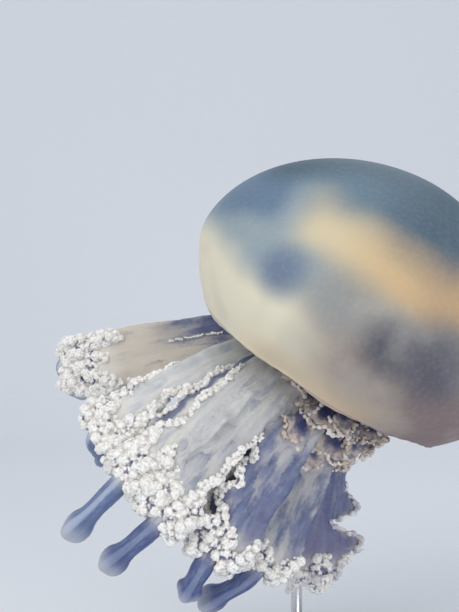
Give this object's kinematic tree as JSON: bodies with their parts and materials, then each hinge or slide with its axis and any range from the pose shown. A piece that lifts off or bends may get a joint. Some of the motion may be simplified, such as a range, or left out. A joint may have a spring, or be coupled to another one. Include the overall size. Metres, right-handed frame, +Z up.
{
  "type": "barrel jellyfish model",
  "caption": "Life-size barrel jellyfish in its swimming pose: a tilted hollow dome over frilled arms that end in smooth clubs, held up by a rod on a plain round base.",
  "frame": {"origin": "centre of the underside of the stand's base", "axes": "+Z up; +X to the side the bell leans to, away from the trailing arms; -Y to the front, where the fan of arms is seen"},
  "size_m": [0.4205, 0.295, 0.4531],
  "materials": {
    "jelly": "wet, translucent-looking, smooth",
    "margin": "wet, smooth violet edge",
    "arm": "wet, silky, faintly streaked",
    "frill": "wet, knobbly frills",
    "club": "wet, glassy, smooth",
    "steel": "brushed"
  },
  "bodies": {
    "root": {"arm_1_club": "club", "arm_1_lower": "frill", "arm_1_upper": "arm", "arm_2_club": "club", "arm_2_lower": "frill", "arm_2_upper": "arm", "arm_3_club": "club", "arm_3_lower": "frill", "arm_3_upper": "arm", "arm_4_club": "club", "arm_4_lower": "frill", "arm_4_upper": "arm", "arm_5_club": "club", "arm_5_lower": "frill", "arm_5_upper": "arm", "arm_6_club": "club", "arm_6_lower": "frill", "arm_6_upper": "arm", "arm_7_club": "club", "arm_7_lower": "frill", "arm_7_upper": "arm", "arm_8_club": "club", "arm_8_lower": "frill", "arm_8_upper": "arm", "bell_dome": "jelly", "bell_margin": "margin", "bell_skirt_back": "jelly", "bell_skirt_front": "jelly", "bell_skirt_left": "jelly", "bell_skirt_right": "jelly", "manubrium": "jelly", "scapulet_1a": "frill", "scapulet_1b": "frill", "scapulet_2a": "frill", "scapulet_2b": "frill", "scapulet_3a": "frill", "scapulet_3b": "frill", "scapulet_4a": "frill", "scapulet_4b": "frill", "scapulet_5a": "frill", "scapulet_5b": "frill", "scapulet_6a": "frill", "scapulet_6b": "frill", "scapulet_7a": "frill", "scapulet_7b": "frill", "scapulet_8a": "frill", "scapulet_8b": "frill", "stand_base": "steel", "stand_collar": "steel", "stand_rod": "steel"}
  },
  "joints": []
}
